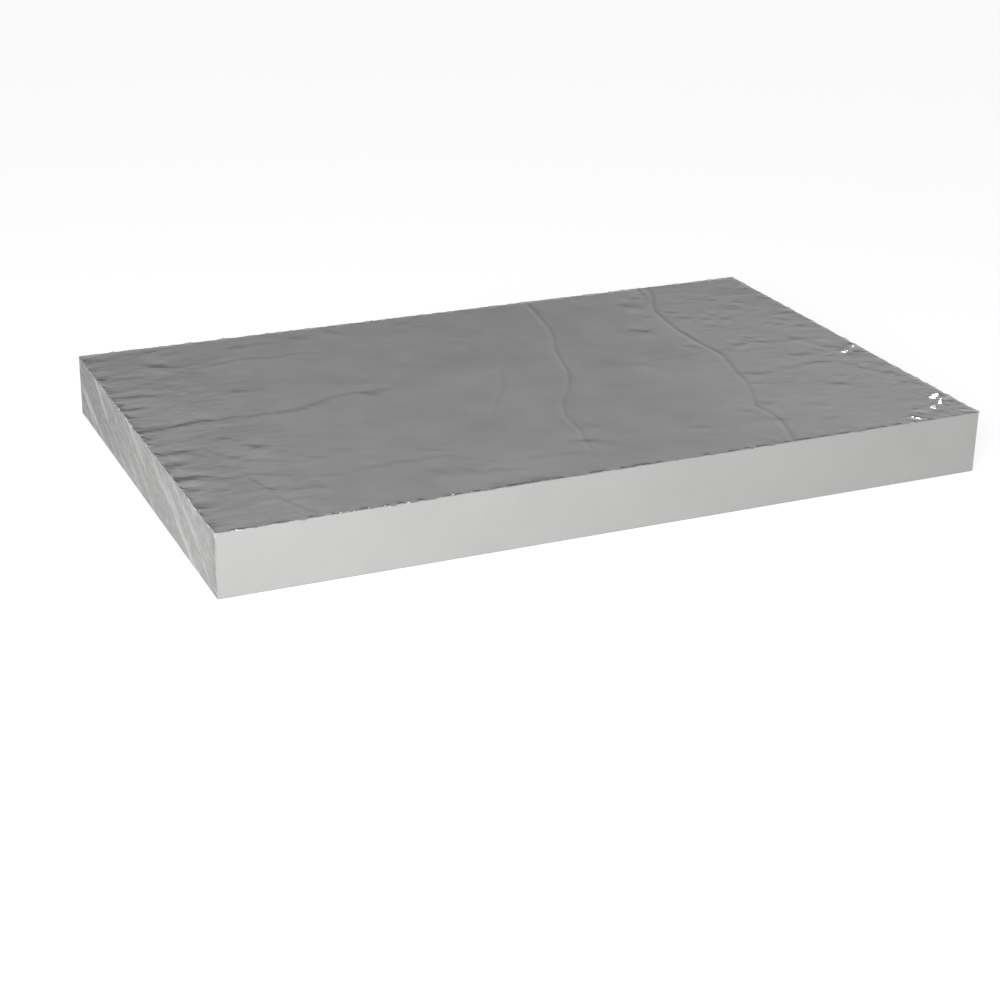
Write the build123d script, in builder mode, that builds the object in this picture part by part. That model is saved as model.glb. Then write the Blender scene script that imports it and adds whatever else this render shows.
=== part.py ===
"""Foil-faced foam sheet: a cut slab of pale closed-cell foam that lies flat, with a thin aluminium
facing glued to its upper face. The facing is trimmed by hand along its edges, and it holds the
folds that spare foil makes when it is rolled on: two long creases from edge to edge, four that
die away on the board, a row of puckers along the left end, a crumpled front right corner and a
nick in the right end.
Millimetres, +Z up, X along the length, origin at the middle of the underside."""

import os
from math import pi, sin

from build123d import *

# Foam slab
board_length = 1000.0
board_width = 625.0
board_thickness = 80.0
corner_radius = 2.0  # upright corners, cut nearly sharp
lower_arris = 1.5  # ease along the cut edges of the underside

# Facing: foil with its glue film, trimmed a little outside the slab
foil_thickness = 0.1
trim_overhang = 0.8
trim_ripple = 0.5  # how far the knife wandered out and in
ripple_pitch = 42.0
points_per_ripple = 3
ripples_per_swell = 3.7  # the ripples grow and fade over about this many of them

# Creases: folds of spare foil, pinched up in a line
crease_height = 1.8
crease_width = 5.0
crease_swell = 0.25  # share of its height by which a long crease rises and falls
swells_per_crease = 3
crease_stations = 16
fine_crease_height = 1.2
fine_crease_width = 4.0
fine_crease_stations = 8

# Puckers: short gathers along the left end, highest at the trimmed edge
pucker_count = 19
pucker_height = 1.3
pucker_width = 7.0
pucker_length = 46.0
pucker_length_swing = 26.0
pucker_drift = 5.0  # how far a pucker slews sideways over its length
pucker_length_turn = 2.4  # radians between one pucker and the next, so that their lengths differ
pucker_drift_turn = 1.7  # the same for their drifts
pucker_stations = 4

# Crumpled front right corner, and the nick in the right end: foil that was knocked up on its edge
crumple_height = 3.0
crumple_width = 7.0
crumple_stations = 6

# What is left of a fold where it dies away, which lies inside the foil's own thickness
faded_height = 0.06
faded_width = 1.0

# Runs of the folds, as shares of the length and the width from the middle of the board. A share
# past a half runs over the edge, where the trim cuts it.
crossing_creases = [
    [(0.157, 0.52), (0.143, 0.38), (0.105, 0.18), (0.08, 0.03), (0.03, -0.12), (0.004, -0.26), (-0.017, -0.52)],
    [(0.345, 0.52), (0.314, 0.34), (0.303, 0.12), (0.306, 0.0), (0.283, -0.16), (0.243, -0.32), (0.216, -0.52)],
]
end_creases = [
    [(-0.51, 0.024), (-0.385, 0.032), (-0.3, 0.026), (-0.23, 0.066), (-0.16, 0.066)],
]
island_creases = [
    [(-0.375, 0.336), (-0.3, 0.354), (-0.2, 0.332)],
    [(-0.4, -0.33), (-0.24, -0.316), (-0.17, -0.322), (-0.13, -0.395)],
    [(-0.012, 0.29), (-0.012, 0.06), (-0.05, -0.085), (-0.093, -0.208)],
]
corner_creases = [
    [(0.51, -0.34), (0.47, -0.4), (0.44, -0.52)],
    [(0.51, -0.39), (0.475, -0.45), (0.464, -0.52)],
]
nick_creases = [
    [(0.51, -0.035), (0.478, -0.075), (0.456, -0.1)],
]


def steady(along):
    """A fold that runs right across the board, rising and falling a little."""
    return 1 - crease_swell * sin(swells_per_crease * pi * along) ** 2


def dying(along):
    """A fold that starts full at the trimmed edge and fades out on the board."""
    return 1 - along


def swelling(along):
    """A fold that fades out at both ends."""
    return sin(pi * along)


def fold(points, envelope, height, width, stations):
    """A pinched fold of foil along a run of points: a ridged section, lofted through even stations."""
    with BuildLine(Plane.XY.offset(board_thickness)) as run:
        Spline(*points)
    sections = []
    for step in range(stations + 1):
        along = step / stations
        heading = run.line % along
        place = Plane(origin=run.line @ along, x_dir=Vector(0, 0, 1).cross(heading), z_dir=heading)
        fullness = envelope(along)
        half = (faded_width + (width - faded_width) * fullness) / 2
        ridge = faded_height + (height - faded_height) * fullness
        with BuildSketch(place) as section:
            with BuildLine():
                Polyline((-half, 0), (half, 0), (0, ridge), close=True)
            make_face()
        sections.append(section.sketch)
    loft(sections, ruled=True)


def on_board(shares):
    """Points of the foil from their shares of the length and the width."""
    return [(along * board_length, across * board_width) for along, across in shares]


def trimmed_edge(start, end, outward):
    """One side of the facing's outline, wandering about the knife's line from corner to corner."""
    start, end, outward = Vector(*start), Vector(*end), Vector(*outward)
    side = (end - start).length
    ripples = max(2, round(side / ripple_pitch))
    count = ripples * points_per_ripple
    points = [start]
    for step in range(1, count):
        phase = 2 * pi * ripples * step / count
        wander = trim_ripple * sin(phase) * sin(phase / ripples_per_swell + side)
        points.append(start + (end - start) * (step / count) + outward * wander)
    points.append(end)
    Spline(*points)


# The slab, cut square, with its corners and lower edges eased
with BuildPart() as foam_sheet:
    with BuildSketch():
        RectangleRounded(board_length, board_width, corner_radius)
    extrude(amount=board_thickness)
    chamfer(foam_sheet.faces().sort_by(Axis.Z)[0].edges(), length=lower_arris)
foam_sheet.part.label = "foam_sheet"

# The knife's outline, all round the upper face
trim_x = board_length / 2 + trim_overhang
trim_y = board_width / 2 + trim_overhang
with BuildSketch(Plane.XY.offset(board_thickness)) as outline:
    with BuildLine():
        trimmed_edge((-trim_x, -trim_y), (trim_x, -trim_y), (0, -1))
        trimmed_edge((trim_x, -trim_y), (trim_x, trim_y), (1, 0))
        trimmed_edge((trim_x, trim_y), (-trim_x, trim_y), (0, 1))
        trimmed_edge((-trim_x, trim_y), (-trim_x, -trim_y), (-1, 0))
    make_face()

# The facing: flat foil, the folds that stand on it, and one trim through them all
with BuildPart() as foil_facing:
    add(outline.sketch)
    extrude(amount=foil_thickness)
    for shares in crossing_creases:
        fold(on_board(shares), steady, crease_height, crease_width, crease_stations)
    for shares in end_creases:
        fold(on_board(shares), dying, crease_height, crease_width, fine_crease_stations)
    for shares in island_creases:
        fold(on_board(shares), swelling, fine_crease_height, fine_crease_width, fine_crease_stations)
    for shares in corner_creases:
        fold(on_board(shares), steady, crumple_height, crumple_width, crumple_stations)
    for shares in nick_creases:
        fold(on_board(shares), dying, crumple_height, crumple_width, crumple_stations)
    pucker_pitch = board_width / pucker_count
    for index in range(pucker_count):
        across = (index + 0.5) * pucker_pitch - board_width / 2
        reach = pucker_length + pucker_length_swing * sin(pucker_length_turn * index)
        drift = pucker_drift * sin(pucker_drift_turn * index)
        pucker = [(-trim_x - pucker_width, across), (reach - trim_x, across + drift)]
        fold(pucker, dying, pucker_height, pucker_width, pucker_stations)
    add(outline.sketch)
    knife_reach = 2 * max(crease_height, fine_crease_height, pucker_height, crumple_height)
    extrude(amount=knife_reach, mode=Mode.INTERSECT)
foil_facing.part.label = "foil_facing"

os.makedirs("parts", exist_ok=True)
export_step(foam_sheet.part, "parts/foam_sheet.step")
export_step(foil_facing.part, "parts/foil_facing.step")
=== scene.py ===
"""Foil-faced foam sheet, dressed: the aluminium facing with its creases, puckers, dents and knife-cut
edge, the pale closed-cell slab under it, and a plain studio. Lengths are in millimetres until a mesh
is written."""

import math

import bpy
import numpy as np
from bpy.props import FloatProperty, IntProperty, PointerProperty, StringProperty
from mathutils import Matrix, Vector
from mathutils.geometry import delaunay_2d_cdt


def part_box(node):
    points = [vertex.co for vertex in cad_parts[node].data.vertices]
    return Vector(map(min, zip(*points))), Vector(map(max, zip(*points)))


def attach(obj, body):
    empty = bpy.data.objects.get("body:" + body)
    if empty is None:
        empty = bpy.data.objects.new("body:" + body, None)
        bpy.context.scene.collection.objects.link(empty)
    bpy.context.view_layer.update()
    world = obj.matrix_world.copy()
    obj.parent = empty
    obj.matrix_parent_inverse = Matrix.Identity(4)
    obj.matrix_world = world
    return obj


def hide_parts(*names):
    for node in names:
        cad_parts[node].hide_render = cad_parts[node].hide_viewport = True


bl_info = {
    "name": "Foil-faced Foam Sheet",
    "version": (1, 0, 0),
    "blender": (4, 5, 0),
    "location": "View3D > Sidebar > Foam Sheet",
    "description": "Dresses a foam insulation sheet: creased foil facing, cut slab and a plain studio",
    "category": "Object",
}

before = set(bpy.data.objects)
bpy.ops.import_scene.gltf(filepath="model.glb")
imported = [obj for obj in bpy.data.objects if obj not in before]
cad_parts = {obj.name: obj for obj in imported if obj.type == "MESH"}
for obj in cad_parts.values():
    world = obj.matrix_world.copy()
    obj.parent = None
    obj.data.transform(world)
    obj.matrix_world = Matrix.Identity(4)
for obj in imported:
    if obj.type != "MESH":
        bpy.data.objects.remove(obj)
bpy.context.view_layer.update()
MM = 0.001

# The slab and the room that the facing has round it, from the frame
SLAB_HIGH = np.array(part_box("foam_sheet")[1]) / MM
FOIL_LOW, FOIL_HIGH = (np.array(corner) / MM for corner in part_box("foil_facing"))
HALF = SLAB_HIGH[:2]
TOP = SLAB_HIGH[2]
CLEAR = 0.001  # keeps rounded numbers inside the frame's box
RISE_ROOM = FOIL_HIGH[2] - TOP

# What the facing shows, read from the photograph, from the middle of the board.
# Ridges, where spare foil stands up in a line: points, height, half width, how strong the painted highlight
# and painted shade along it are, and the share of it that is left at its far end
RIDGES = [
    ([(156, 330), (149, 275), (143, 242), (134, 190), (120, 145), (104, 107), (91, 62), (82, 24),
      (69, -8), (53, -40), (31, -72), (13, -111), (5, -143), (1, -181), (-8, -213), (-13, -240)],
     0.24, 3.6, 0.4, 0.6),
    ([(352, 325), (339, 270), (323, 240), (310, 205), (304, 171), (299, 120), (299, 75), (302, 35),
      (304, 5), (297, -27), (288, -62), (281, -98), (269, -136), (254, -168), (241, -196)],
     0.26, 3.8, 0.5, 0.6),
    ([(336, 325), (331, 290), (323, 262), (315, 235)], 0.20, 3.6, 0.35, 0.2),
    ([(247, -188), (250, -222), (246, -252), (234, -288), (221, -325)], 0.22, 4.0, 0.4, 1.0),
    ([(-437, -66), (-432, -85), (-425, -98), (-405, -125)], 0.05, 2.6, -0.25, 0.6),
    ([(-416, -178), (-410, -200), (-404, -235), (-397, -260), (-388, -280), (-377, -303)],
     0.05, 2.6, -0.4, 0.9),
    ([(-2, 55), (-12, 25), (-28, -10), (-45, -38), (-62, -64), (-76, -92), (-98, -136)], 0.10, 3.6, 0.2, 0.1),
]
# Leaning buckles, whose steep side falls away to the left of their run: points, half width, slope,
# and the share of it that is left at each end
BUCKLES = [
    ([(157, 325), (150, 275), (144, 242)], 6.9, 0.042, 1.0, 0.1),
    ([(338, 325), (333, 290), (326, 262)], 5.8, 0.06, 1.0, 0.1),
    ([(312, 205), (306, 171), (302, 120), (303, 75), (306, 35), (309, 5), (302, -27), (291, -62), (284, -98)],
     4.6, 0.036, 0.4, 0.3),
    ([(-510, 10), (-490, 12), (-470, 12), (-445, 14)], 15, 0.085, 1.0, 0.6),
    ([(-444, 15), (-420, 19), (-400, 21), (-386, 19)], 11, 0.08, 0.6, 0.4),
    ([(-386, 18), (-345, 15), (-298, 15), (-265, 26), (-235, 41), (-215, 45), (-195, 42)],
     9, 0.053, 0.8, 0.8),
    ([(-180, 42), (-158, 42)], 7.8, 0.047, 0.5, 0.3),
    ([(-352, 44), (-347, 32), (-338, 21)], 5.9, 0.034, 0.5, 0.5),
    ([(-374, 211), (-355, 211), (-335, 217), (-300, 222), (-285, 220), (-262, 214), (-225, 216), (-200, 209)],
     4.9, 0.047, 0.5, 0.9),
    ([(-424, 251), (-414, 236), (-402, 230), (-388, 219)], 11.7, 0.071, 0.6, 0.1),
    ([(-436, 222), (-434, 206)], 5.9, 0.043, 0.5, 0.3),
    ([(-396, 202), (-385, 198)], 5.2, 0.045, 0.5, 0.5),
    ([(-396, 190), (-386, 176)], 5.9, 0.034, 0.5, 0.5),
    ([(-358, 110), (-345, 108), (-328, 105)], 12.3, 0.049, 0.4, 0.3),
    ([(-364, 104), (-361, 91)], 5.9, 0.043, 0.5, 0.5),
    ([(-306, 270), (-293, 273), (-280, 274)], 11.1, 0.049, 0.5, 0.5),
    ([(-270, 276), (-247, 274)], 9.1, 0.045, 0.4, 0.5),
    ([(-156, 297), (-148, 283), (-139, 268)], 8.5, 0.045, 0.5, 0.5),
    ([(-38, 268), (-25, 263)], 5.2, 0.04, 0.5, 0.5),
    ([(-490, 200), (-470, 201), (-448, 203)], 6.5, 0.043, 0.5, 0.2),
    ([(-470, 167), (-455, 163), (-440, 156)], 6.5, 0.034, 0.4, 0.4),
    ([(-432, -11), (-418, -5)], 5.9, 0.049, 0.5, 0.5),
    ([(-410, -46), (-394, -46)], 9.1, 0.049, 0.5, 0.5),
    ([(-388, -82), (-373, -90)], 11.1, 0.068, 0.5, 0.5),
    ([(-458, -85), (-449, -94), (-443, -104)], 5.9, 0.043, 0.5, 0.2),
    ([(-437, -66), (-432, -85), (-425, -98), (-405, -125)], 5.9, 0.043, 0.2, 0.6),
    ([(-405, -125), (-390, -130), (-372, -138), (-349, -151)], 6.5, 0.045, 0.6, 0.6),
    ([(-475, -128), (-450, -131)], 6.5, 0.045, 0.4, 0.5),
    ([(-442, -131), (-425, -140)], 7.2, 0.06, 0.5, 0.5),
    ([(-472, -147), (-460, -156), (-449, -168), (-412, -170), (-390, -177), (-373, -188)],
     6.5, 0.053, 0.7, 0.6),
    ([(-416, -178), (-410, -200), (-404, -226)], 5.9, 0.047, 0.4, 0.8),
    ([(-404, -235), (-397, -260), (-388, -280), (-377, -303)], 5.9, 0.038, 0.3, 0.8),
    ([(-405, -219), (-390, -222), (-378, -228), (-364, -230)], 7.2, 0.049, 0.8, 0.4),
    ([(-341, -203), (-325, -204), (-311, -208)], 7.2, 0.047, 0.5, 0.3),
    ([(-308, -201), (-262, -198), (-215, -197), (-180, -196), (-168, -203), (-157, -219)],
     7.8, 0.043, 0.5, 0.6),
    ([(-341, -136), (-325, -145), (-309, -153)], 7.2, 0.045, 0.4, 0.4),
    ([(-277, -165), (-258, -171)], 7.2, 0.038, 0.4, 0.4),
    ([(-200, -168), (-185, -175), (-164, -188)], 6.5, 0.049, 0.5, 0.4),
    ([(-213, -156), (-195, -162)], 5.2, 0.03, 0.4, 0.4),
    ([(-176, -157), (-160, -172)], 5.9, 0.03, 0.4, 0.4),
    ([(-182, -243), (-172, -250), (-164, -256)], 10.4, 0.049, 0.5, 0.5),
    ([(-163, -234), (-150, -246)], 7.8, 0.049, 0.5, 0.5),
    ([(-158, -260), (-140, -262), (-114, -271)], 7.8, 0.049, 0.6, 0.6),
    ([(-102, -243), (-75, -243), (-34, -243)], 9.1, 0.043, 0.3, 0.4),
    ([(-20, -212), (0, -218), (10, -226), (20, -235)], 12, 0.056, 0.4, 0.5),
    ([(-9, -250), (-11, -275), (-13, -314)], 5, 0.05, 0.5, 0.8),
    ([(-166, -301), (-150, -300)], 9.1, 0.045, 0.5, 0.5),
    ([(-122, -297), (-100, -303)], 10.4, 0.068, 0.5, 0.6),
    ([(95, 14), (180, 16), (295, 20)], 5.8, 0.018, 0.2, 0.6),
    ([(308, 20), (340, 18)], 5.8, 0.024, 0.6, 0.2),
    ([(290, -72), (305, -76), (322, -82), (347, -80)], 9.2, 0.06, 0.4, 0.2),
    ([(358, -78), (375, -75), (389, -72)], 6.3, 0.036, 0.4, 0.4),
    ([(397, -66), (415, -70), (433, -73)], 8, 0.054, 0.6, 0.6),
    ([(399, -32), (413, -34), (423, -39)], 9.2, 0.048, 0.4, 0.6),
    ([(438, -59), (457, -51)], 6.3, 0.039, 0.5, 0.3),
    ([(382, -145), (392, -153), (405, -156)], 10.3, 0.054, 0.6, 0.5),
    ([(289, -109), (299, -117)], 6.3, 0.044, 0.5, 0.4),
    ([(300, -122), (325, -123), (347, -117)], 5.2, 0.028, 0.4, 0.3),
    ([(474, -139), (485, -156)], 10.3, 0.042, 0.5, 0.5),
    ([(313, -203), (329, -212)], 8, 0.042, 0.5, 0.5),
    ([(307, -259), (326, -256)], 9.2, 0.039, 0.5, 0.4),
    ([(243, -229), (259, -246)], 11.5, 0.054, 0.6, 0.4),
    ([(410, -241), (440, -236), (452, -239)], 6.3, 0.04, 0.2, 0.5),
    ([(314, -284), (321, -306)], 8, 0.044, 0.3, 0.8),
    ([(140, -222), (156, -229)], 9.8, 0.051, 0.5, 0.5),
    ([(136, -250), (152, -254)], 8, 0.036, 0.3, 0.6),
    ([(220, -187), (234, -203)], 9.2, 0.048, 0.5, 0.6),
    ([(370, 47), (389, 53)], 6.9, 0.045, 0.5, 0.5),
    ([(362, 38), (379, 34)], 9.2, 0.036, 0.5, 0.5),
    ([(388, 28), (401, 25)], 6.3, 0.044, 0.5, 0.5),
    ([(411, 25), (426, 24)], 8, 0.045, 0.5, 0.6),
    ([(292, 53), (286, 44), (281, 35)], 9.2, 0.042, 0.5, 0.5),
    ([(434, -280), (430, -281)], 4.5, 0.36, 0.6, 0.6),
    ([(492, -300), (482, -297)], 3.6, 0.30, 0.5, 0.5),
    ([(419, -306), (408, -296)], 4, 0.34, 0.6, 0.6),
    ([(466, -269), (448, -277)], 3, 0.40, 0.7, 0.5),
    ([(504, -28), (485, -40), (468, -51)], 5, 0.36, 1.0, 0.8),
    ([(508, -249), (490, -253), (478, -263)], 4.5, 0.30, 0.9, 0.5),
]
# Puckers of the left end, widest at the trimmed edge: place across, reach, sideways drift, half width, slope
PUCKERS = [
    (285, 57, -3, 9, 0.047), (249, 16, 0, 7.6, 0.048), (214, 21, -5, 12, 0.066),
    (158, 14, -2, 10.5, 0.05), (134, 76, -19, 9.8, 0.05), (110, 14, -3, 10.5, 0.076),
    (92, 39, -2, 9, 0.05), (62, 18, 5, 7.6, 0.055), (-16, 23, 0, 9, 0.072), (-38, 28, 0, 9, 0.064),
    (-68, 53, -16, 11.2, 0.076), (-108, 39, 4, 12, 0.081), (-151, 46, -12, 11.2, 0.081),
    (-186, 30, -1, 9, 0.072), (-226, 12, -6, 9, 0.064), (-235, 28, -1, 7.6, 0.064),
    (-288, 21, 2, 9, 0.048),
]
# Dimples: place along and across, half length, half width, slope
DIMPLES = [
    (-415, 238, 14, 13, 0.03), (-381, -86, 8, 9, 0.028), (287, 46, 8, 10, 0.035), (347, 36, 8, 8, 0.035),
    (403, -36, 8, 9, 0.035), (476, -138, 7, 8, 0.035), (486, -188, 7, 9, 0.03), (445, -36, 8, 7, 0.035),
    (-420, 157, 7, 7, 0.028), (-412, 137, 5, 7, 0.028), (-460, 142, 7, 7, 0.025), (-435, 54, 7, 5, 0.028),
    (-484, 157, 7, 7, 0.026), (-188, 38, 10, 13, 0.034), (-204, 278, 11, 13, 0.028),
    (-412, 297, 22, 9, 0.025), (-50, 286, 16, 7, 0.025), (-287, -133, 6, 9, 0.03),
    (-455, -199, 7, 7, 0.026), (-350, -224, 9, 13, 0.03), (-205, -242, 9, 13, 0.03),
    (-142, -233, 8, 7, 0.026), (24, -171, 9, 10, 0.025), (-8, 180, 8, 10, 0.025),
    (288, 244, 10, 14, 0.038), (313, 273, 7, 7, 0.03), (288, 187, 6, 7, 0.026), (331, 192, 10, 9, 0.03),
    (333, 165, 8, 9, 0.035), (362, 149, 6, 7, 0.028), (381, 161, 6, 9, 0.028), (387, 142, 8, 9, 0.028),
    (358, 115, 7, 9, 0.03), (252, 132, 10, 15, 0.04), (421, 183, 10, 14, 0.032),
    (447, 202, 10, 10, 0.027), (415, 223, 7, 9, 0.028), (437, 160, 8, 7, 0.03), (488, 252, 11, 7, 0.03),
    (490, 204, 9, 7, 0.03), (485, 132, 10, 9, 0.03), (474, 72, 10, 9, 0.03), (466, 105, 7, 9, 0.028),
    (432, 100, 7, 7, 0.03), (448, 92, 6, 7, 0.03), (455, 106, 7, 7, -0.03), (348, 28, 7, 7, 0.031),
    (355, 24, 5, 7, -0.027), (440, 29, 11, 13, 0.034), (428, 14, 7, 7, -0.028), (468, 7, 9, 7, -0.033),
    (440, -27, 6, 7, 0.027), (447, -34, 5, 9, -0.03), (467, -23, 7, 10, 0.033), (480, -60, 8, 7, 0.03),
    (452, -95, 6, 10, 0.028), (462, -118, 7, 9, 0.03), (487, -108, 9, 10, 0.028),
    (269, -183, 9, 10, 0.034), (236, -171, 6, 7, 0.028), (331, -225, 8, 7, -0.026), (190, 5, 6, 9, 0.03),
    (270, -308, 9, 7, 0.03), (208, -305, 9, 9, 0.03), (488, -50, 8, 7, 0.05), (478, -274, 8, 7, 0.045),
    (489, -264, 8, 6, 0.04), (456, -289, 10, 7, 0.045), (440, -297, 10, 6, 0.035),
    (472, -292, 10, 6, 0.035),
]
# Hard facets of the crumpled front right corner, the nick in the right end and lifted scraps: points
# along the crest, how far the far side reaches, how high the crest stands
FACETS = [
    ([(472, -243), (476, -247)], 4.0, 1.6),
    ([(479, -239), (484, -243)], 4.2, 1.7),
    ([(486, -235), (489, -238)], 3.6, 1.5),
    ([(481, -254), (482, -255)], 3.0, 1.2),
    ([(476, -259), (478, -261)], 3.4, 1.4),
    ([(471, -265), (473, -267)], 3.2, 1.3),
    ([(452, -274), (455, -277)], 1.3, 0.5),
    ([(459, -271), (461, -273)], 1.3, 0.5),
    ([(409, -295), (411, -297)], 1.4, 0.55),
    ([(414, -302), (416, -304)], 2.2, 0.9),
    ([(467, -49), (469, -51)], 2.4, 1.0),
    ([(474, -46), (475, -47)], 1.0, 0.4),
    ([(492, -33), (494, -35)], 1.2, 0.5),
]

# Middles of the places where the foil is crumpled small, and how far round them it reaches
HANDLED = [(472, -282), (458, -38), (370, 40), (468, -112), (482, -172), (484, -225)]
HANDLED_REACH = 28

# The foil's own unevenness is smooth random ground, given by how high it stands, the size of its hills
# along and across, and a seed
FOIL_LEVEL = 0.12  # how high the calm foil stands over the slab
STRAY_ALONG = [(3.0, 14, 11, 8), (1.6, 6, 6, 9)]  # what leads the soft folds off their smooth runs
STRAY_ACROSS = [(2.0, 13, 9, 10), (1.3, 6, 5, 11)]
CRUMPLES = [(0.18, 8, 7, 15), (0.10, 4, 4, 16)]  # of the handled places
# The same with three heights: all over, added at the ends, and added at the trimmed edge
GROUND = [(0.010, 0.080, 0, 26, 13, 3), (0.004, 0.055, 0.06, 13, 7, 4), (0.003, 0.034, 0.05, 6, 5, 12)]
# Broad swells, as high as wide both ways: height, size, turn of their lattice, seed
SWELLS = [(0.22, 95, 0.5, 1), (0.07, 37, 1.1, 2)]
# Hollows with a sharp bottom: three heights as above, size, turn, seed
HOLLOWS = [(0.010, 0.110, 0, 25, 0.35, 5), (0, 0.060, 0.09, 11, -0.6, 6)]
# Fine crinkles of the left end: height, how far in they reach, size along and across, seed
LEFT_CRINKLES = (0.10, 90, 30, 4.5, 17)
# Where the knife dragged the foil up: height, how far in it reaches, how uneven it is, size, seed
FRONT_DRAG = (0.14, 9, 0.9, 13, 60, 13)
LEFT_DRAG = (0.45, 13, 0.7, 60, 12, 14)
BUSY_ENDS = (230, 430)  # how far from the middle the foil grows busy
RIGHT_SHARE = 0.72  # how busy the right end is beside the left one
BUSY_RIM = (3, 20)  # how far in the trimmed edge's own unevenness dies away

# Small faint buckles strewn over the ends: between what values their half length, half width and slope
# lie, how far their headings spread in radians, and what is left of them at each end
STREWN_LENGTH, STREWN_WIDTH, STREWN_SLOPE = (3, 13), (2.8, 5.0), (0.010, 0.032)
STREWN_SPREAD, STREWN_ENDS = 0.35, 0.4
STREWN_SEED, LEFT_SEED, RIGHT_SEED = 300, 31, 32
STREWN_LEFT, STREWN_RIGHT = -370, 330  # along the board, between which there are none
STREWN_MARGIN, STREWN_ROOM = 6, 12  # between them and the trimmed edges of the ends and the sides

# Along a fold's run, in shares of it: where it is full, and where it starts to die away
FULL_BY, DIES_FROM = 0.4, 0.45
RUN_STEP = 2.0
THIN, SWELLED = 0.7, 0.3  # its width where it has died away, and what it gains where it is full
WIDTH_WAVES, HEIGHT_WAVES = (0.15, 27), (0.25, 19)  # by what share it varies, and over what length
SECTION_REACH = 5  # half widths, past which no fold lifts the foil
BATCH = 4000  # points worked out at a time, which saves memory
FACET_SEED, BUCKLE_SEED, PUCKER_SEED, DIMPLE_SEED = 200, 20, 120, 150
FACET_FADE, DIMPLE_FADE = 3, 1.9  # how abruptly they end, beside 1 for the other folds
# How far outside the board a pucker starts, what is left at its end, and its share of drift half way
PUCKER_START, PUCKER_END, EARLY_DRIFT = 6, 0.1, 0.2
DIMPLE_ENDS = 0.8  # what is left of a dimple at each end

# Where the facing's mesh has its rows: in from the trimmed edge, along a ridge and along a facet, the
# last two in half widths
RIM_ROWS = (0.0, 0.5, 1.6, 3.0, 5.0)
UPRIGHT = 0.16  # how far the foot of a facet's upright side stands out from its crest
RIDGE_ROWS = (-1, -0.5, 0, 0.5, 1.1, 1.8, 2.6)
FACET_ROWS = (-UPRIGHT, 0, 0.5, 1)
UNDER_ROW = 7.0  # the underside's last row, past which it is flat
RIM_STEP = 1.3
ROW_GAP = 1  # between the rim's last row and those of the folds
FIELD_MARGIN = 6.5  # between the trimmed edge and the field of points inside it
FIELD_ROW = 0.87  # height of a triangle whose side is 1
CALM_FROM, CALM_TO = -330, 245  # along the board, where a wider mesh does
MERGED = 0.0001  # points nearer than this are one
SUNK = 0.8  # how far the foil can be pressed into the slab
GLUED = (1.5, 6)  # in from the edge: where the foil starts to be held down, and where it is all glued

# How ragged the knife left each side. The front edge is calmer towards the right
RAGGED_LEFT, RAGGED_RIGHT, RAGGED_FRONT, RAGGED_BACK = 0.8, 0.5, 1.0, 0.4
FRONT_CALMER, CALMER_PAST = 0.4, (-250, -50)  # by how much, and between where
# Where the short and the long sides' runs lie along one line, so that each side has its own waves and
# burrs, and where the burrs start on it
SHORT_RUN, LONG_RUN, RUN_START = 700, 1900, -3000
BURR_STRENGTH, BURR_WIDTH, BURR_TAIL = (0.35, 1), (0.8, 2.2), 3  # the tail is in widths
UP_SPACING, DOWN_SPACING = 14, 17  # from burr to burr, on average, of those that stand and that hang
# The edge's wander: how far out it lies, then the height and length of its waves
OUT, OUT_WAVES, OUT_RIPPLES, OUT_REACH = 0.2, (0.8, 9.5), (0.5, 3.7), 6
DROOP, DROOP_WAVES, DROOP_BETWEEN = 0.4, (1, 11), (0.05, 0.35)  # where the edge hangs a little
BURR_OUT, BURR_UP = (1.15, 1.35, 1.0, 0.3, 0.0), (1.9, 0.4, 0.0)  # for each row in from the edge
BURR_HANG = 1.6  # how far the lip of a hanging burr reaches down
CURL, CURL_WAVES, CURL_REACH = 0.20, (0.80, 8), 8
LEAST_RISE, ON_THE_EDGE = 0.1, 0.1  # of the foil at its rim, and how near the edge its lip lies
KNIFE_SEED = 7

CREASE_LIGHT_ATTRIBUTE = "crease_painted_light"  # the facing's mesh attribute of painted highlight and painted shade along the ridges, which its material reads
SHARP_ANGLE = math.radians(32)  # past which two faces of a mesh meet in an edge

# The slab: points of a rounded corner, rows of its walls from the floor and from the top, and rows of
# the top where it is pressed in under the foil, as how far in and how far down
CORNER_POINTS = 7
LOW_ROWS, HIGH_ROWS = (0.0, 0.4, 1.0), (1.2, 0.4, 0.0)
WALL_FROM, WALL_TO = 4, 2.5  # from the floor and from the top, with even rows between
PRESSED_ROWS = ((1.2, 0.0), (4.5, SUNK + 0.2))
END_RUN = 3000  # keeps the ends' unevenness apart from the sides'
# Unevenness of the cut walls: depth, size along and up, seed. The wire's marks slant up along the run
WALL_SWELLS, WIRE_MARKS, WIRE_SLANT = (0.25, 70, 25, 41), (0.15, 90, 6, 42), 0.22

# The foil's patterns, from real sizes. Lines that the rolls leave are under 0.1 mm apart, too fine to
# show, so they are drawn as coarse as they need to be for a faint grain
DULL_PATCH = 70 * MM  # where hands and other boards have touched it
ROLL_LINE, ROLL_STRETCH = 1.5 * MM, (0.04, 1, 1)
CRINKLE, CRINKLE_DEPTH = 4.0 * MM, 0.15 * MM
LIGHTER_BETWEEN, PAINTED_LIGHTER = (150 * MM, 400 * MM), (0.08, 0.7)  # the patches fade towards the right end: a painted reflection that makes the foil lighter there
CRINKLED_BETWEEN, CRINKLED = (200 * MM, 420 * MM), (0.45, 1.0)  # the ends are handled more
FOIL_ROUGHNESS, ROLL_ROUGHNESS, DULL_ROUGHNESS = 0.14, 0.06, 0.06

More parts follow.
